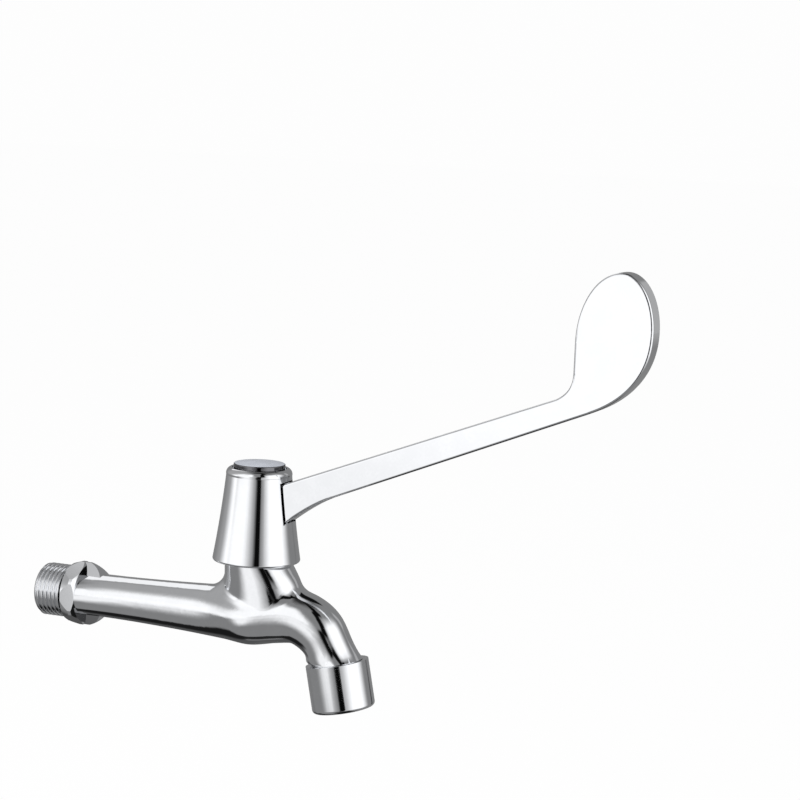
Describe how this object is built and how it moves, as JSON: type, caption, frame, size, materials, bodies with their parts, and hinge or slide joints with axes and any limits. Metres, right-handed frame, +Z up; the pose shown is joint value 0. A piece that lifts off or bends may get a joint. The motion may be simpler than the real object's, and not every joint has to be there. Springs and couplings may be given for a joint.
{
  "type": "long lever bib tap",
  "caption": "Wall-mounted bib tap in chromed brass: long pipe body, turned-down spout with aerator collar, tapered hub and long upswept quarter-turn lever with an oval paddle.",
  "frame": {"origin": "on the inlet axis, in the plane of the spanner hexagon's wall-side face, where the thread ends", "axes": "+X along the pipe away from the wall, +Y across the tap, +Z up along the handle's axis"},
  "size_m": [0.2486, 0.034, 0.1776],
  "materials": {
    "chrome_plate": "polished",
    "cap_insert": "polished",
    "brass": "machined",
    "ceramic": "lapped",
    "seal_rubber": "matte",
    "aerator_plastic": "satin",
    "bush_plastic": "satin",
    "steel": "bright zinc"
  },
  "bodies": {
    "tap": {"tap_body": "chrome_plate", "aerator_collar": "chrome_plate", "aerator_washer": "seal_rubber", "aerator_insert": "aerator_plastic", "aerator_diffuser": "aerator_plastic", "aerator_screen": "aerator_plastic", "neck_gasket": "seal_rubber", "seat_seal": "seal_rubber", "cartridge_housing": "brass", "fixed_disc": "ceramic"},
    "handle": {"moving_disc": "ceramic", "spindle": "brass", "spindle_o_rings": "seal_rubber", "thrust_washer": "bush_plastic", "spindle_circlip": "steel", "spline_bush": "bush_plastic", "handle_cone": "chrome_plate", "lever_arm": "chrome_plate", "screw_washer": "steel", "handle_screw": "steel", "index_cap": "cap_insert"}
  },
  "joints": [
    {"name": "handle_turn", "type": "hinge", "parent": "tap", "child": "handle", "pos_m": [0.08, 0, 0], "axis": [0, 0, 1], "range_deg": [0, 90]}
  ]
}
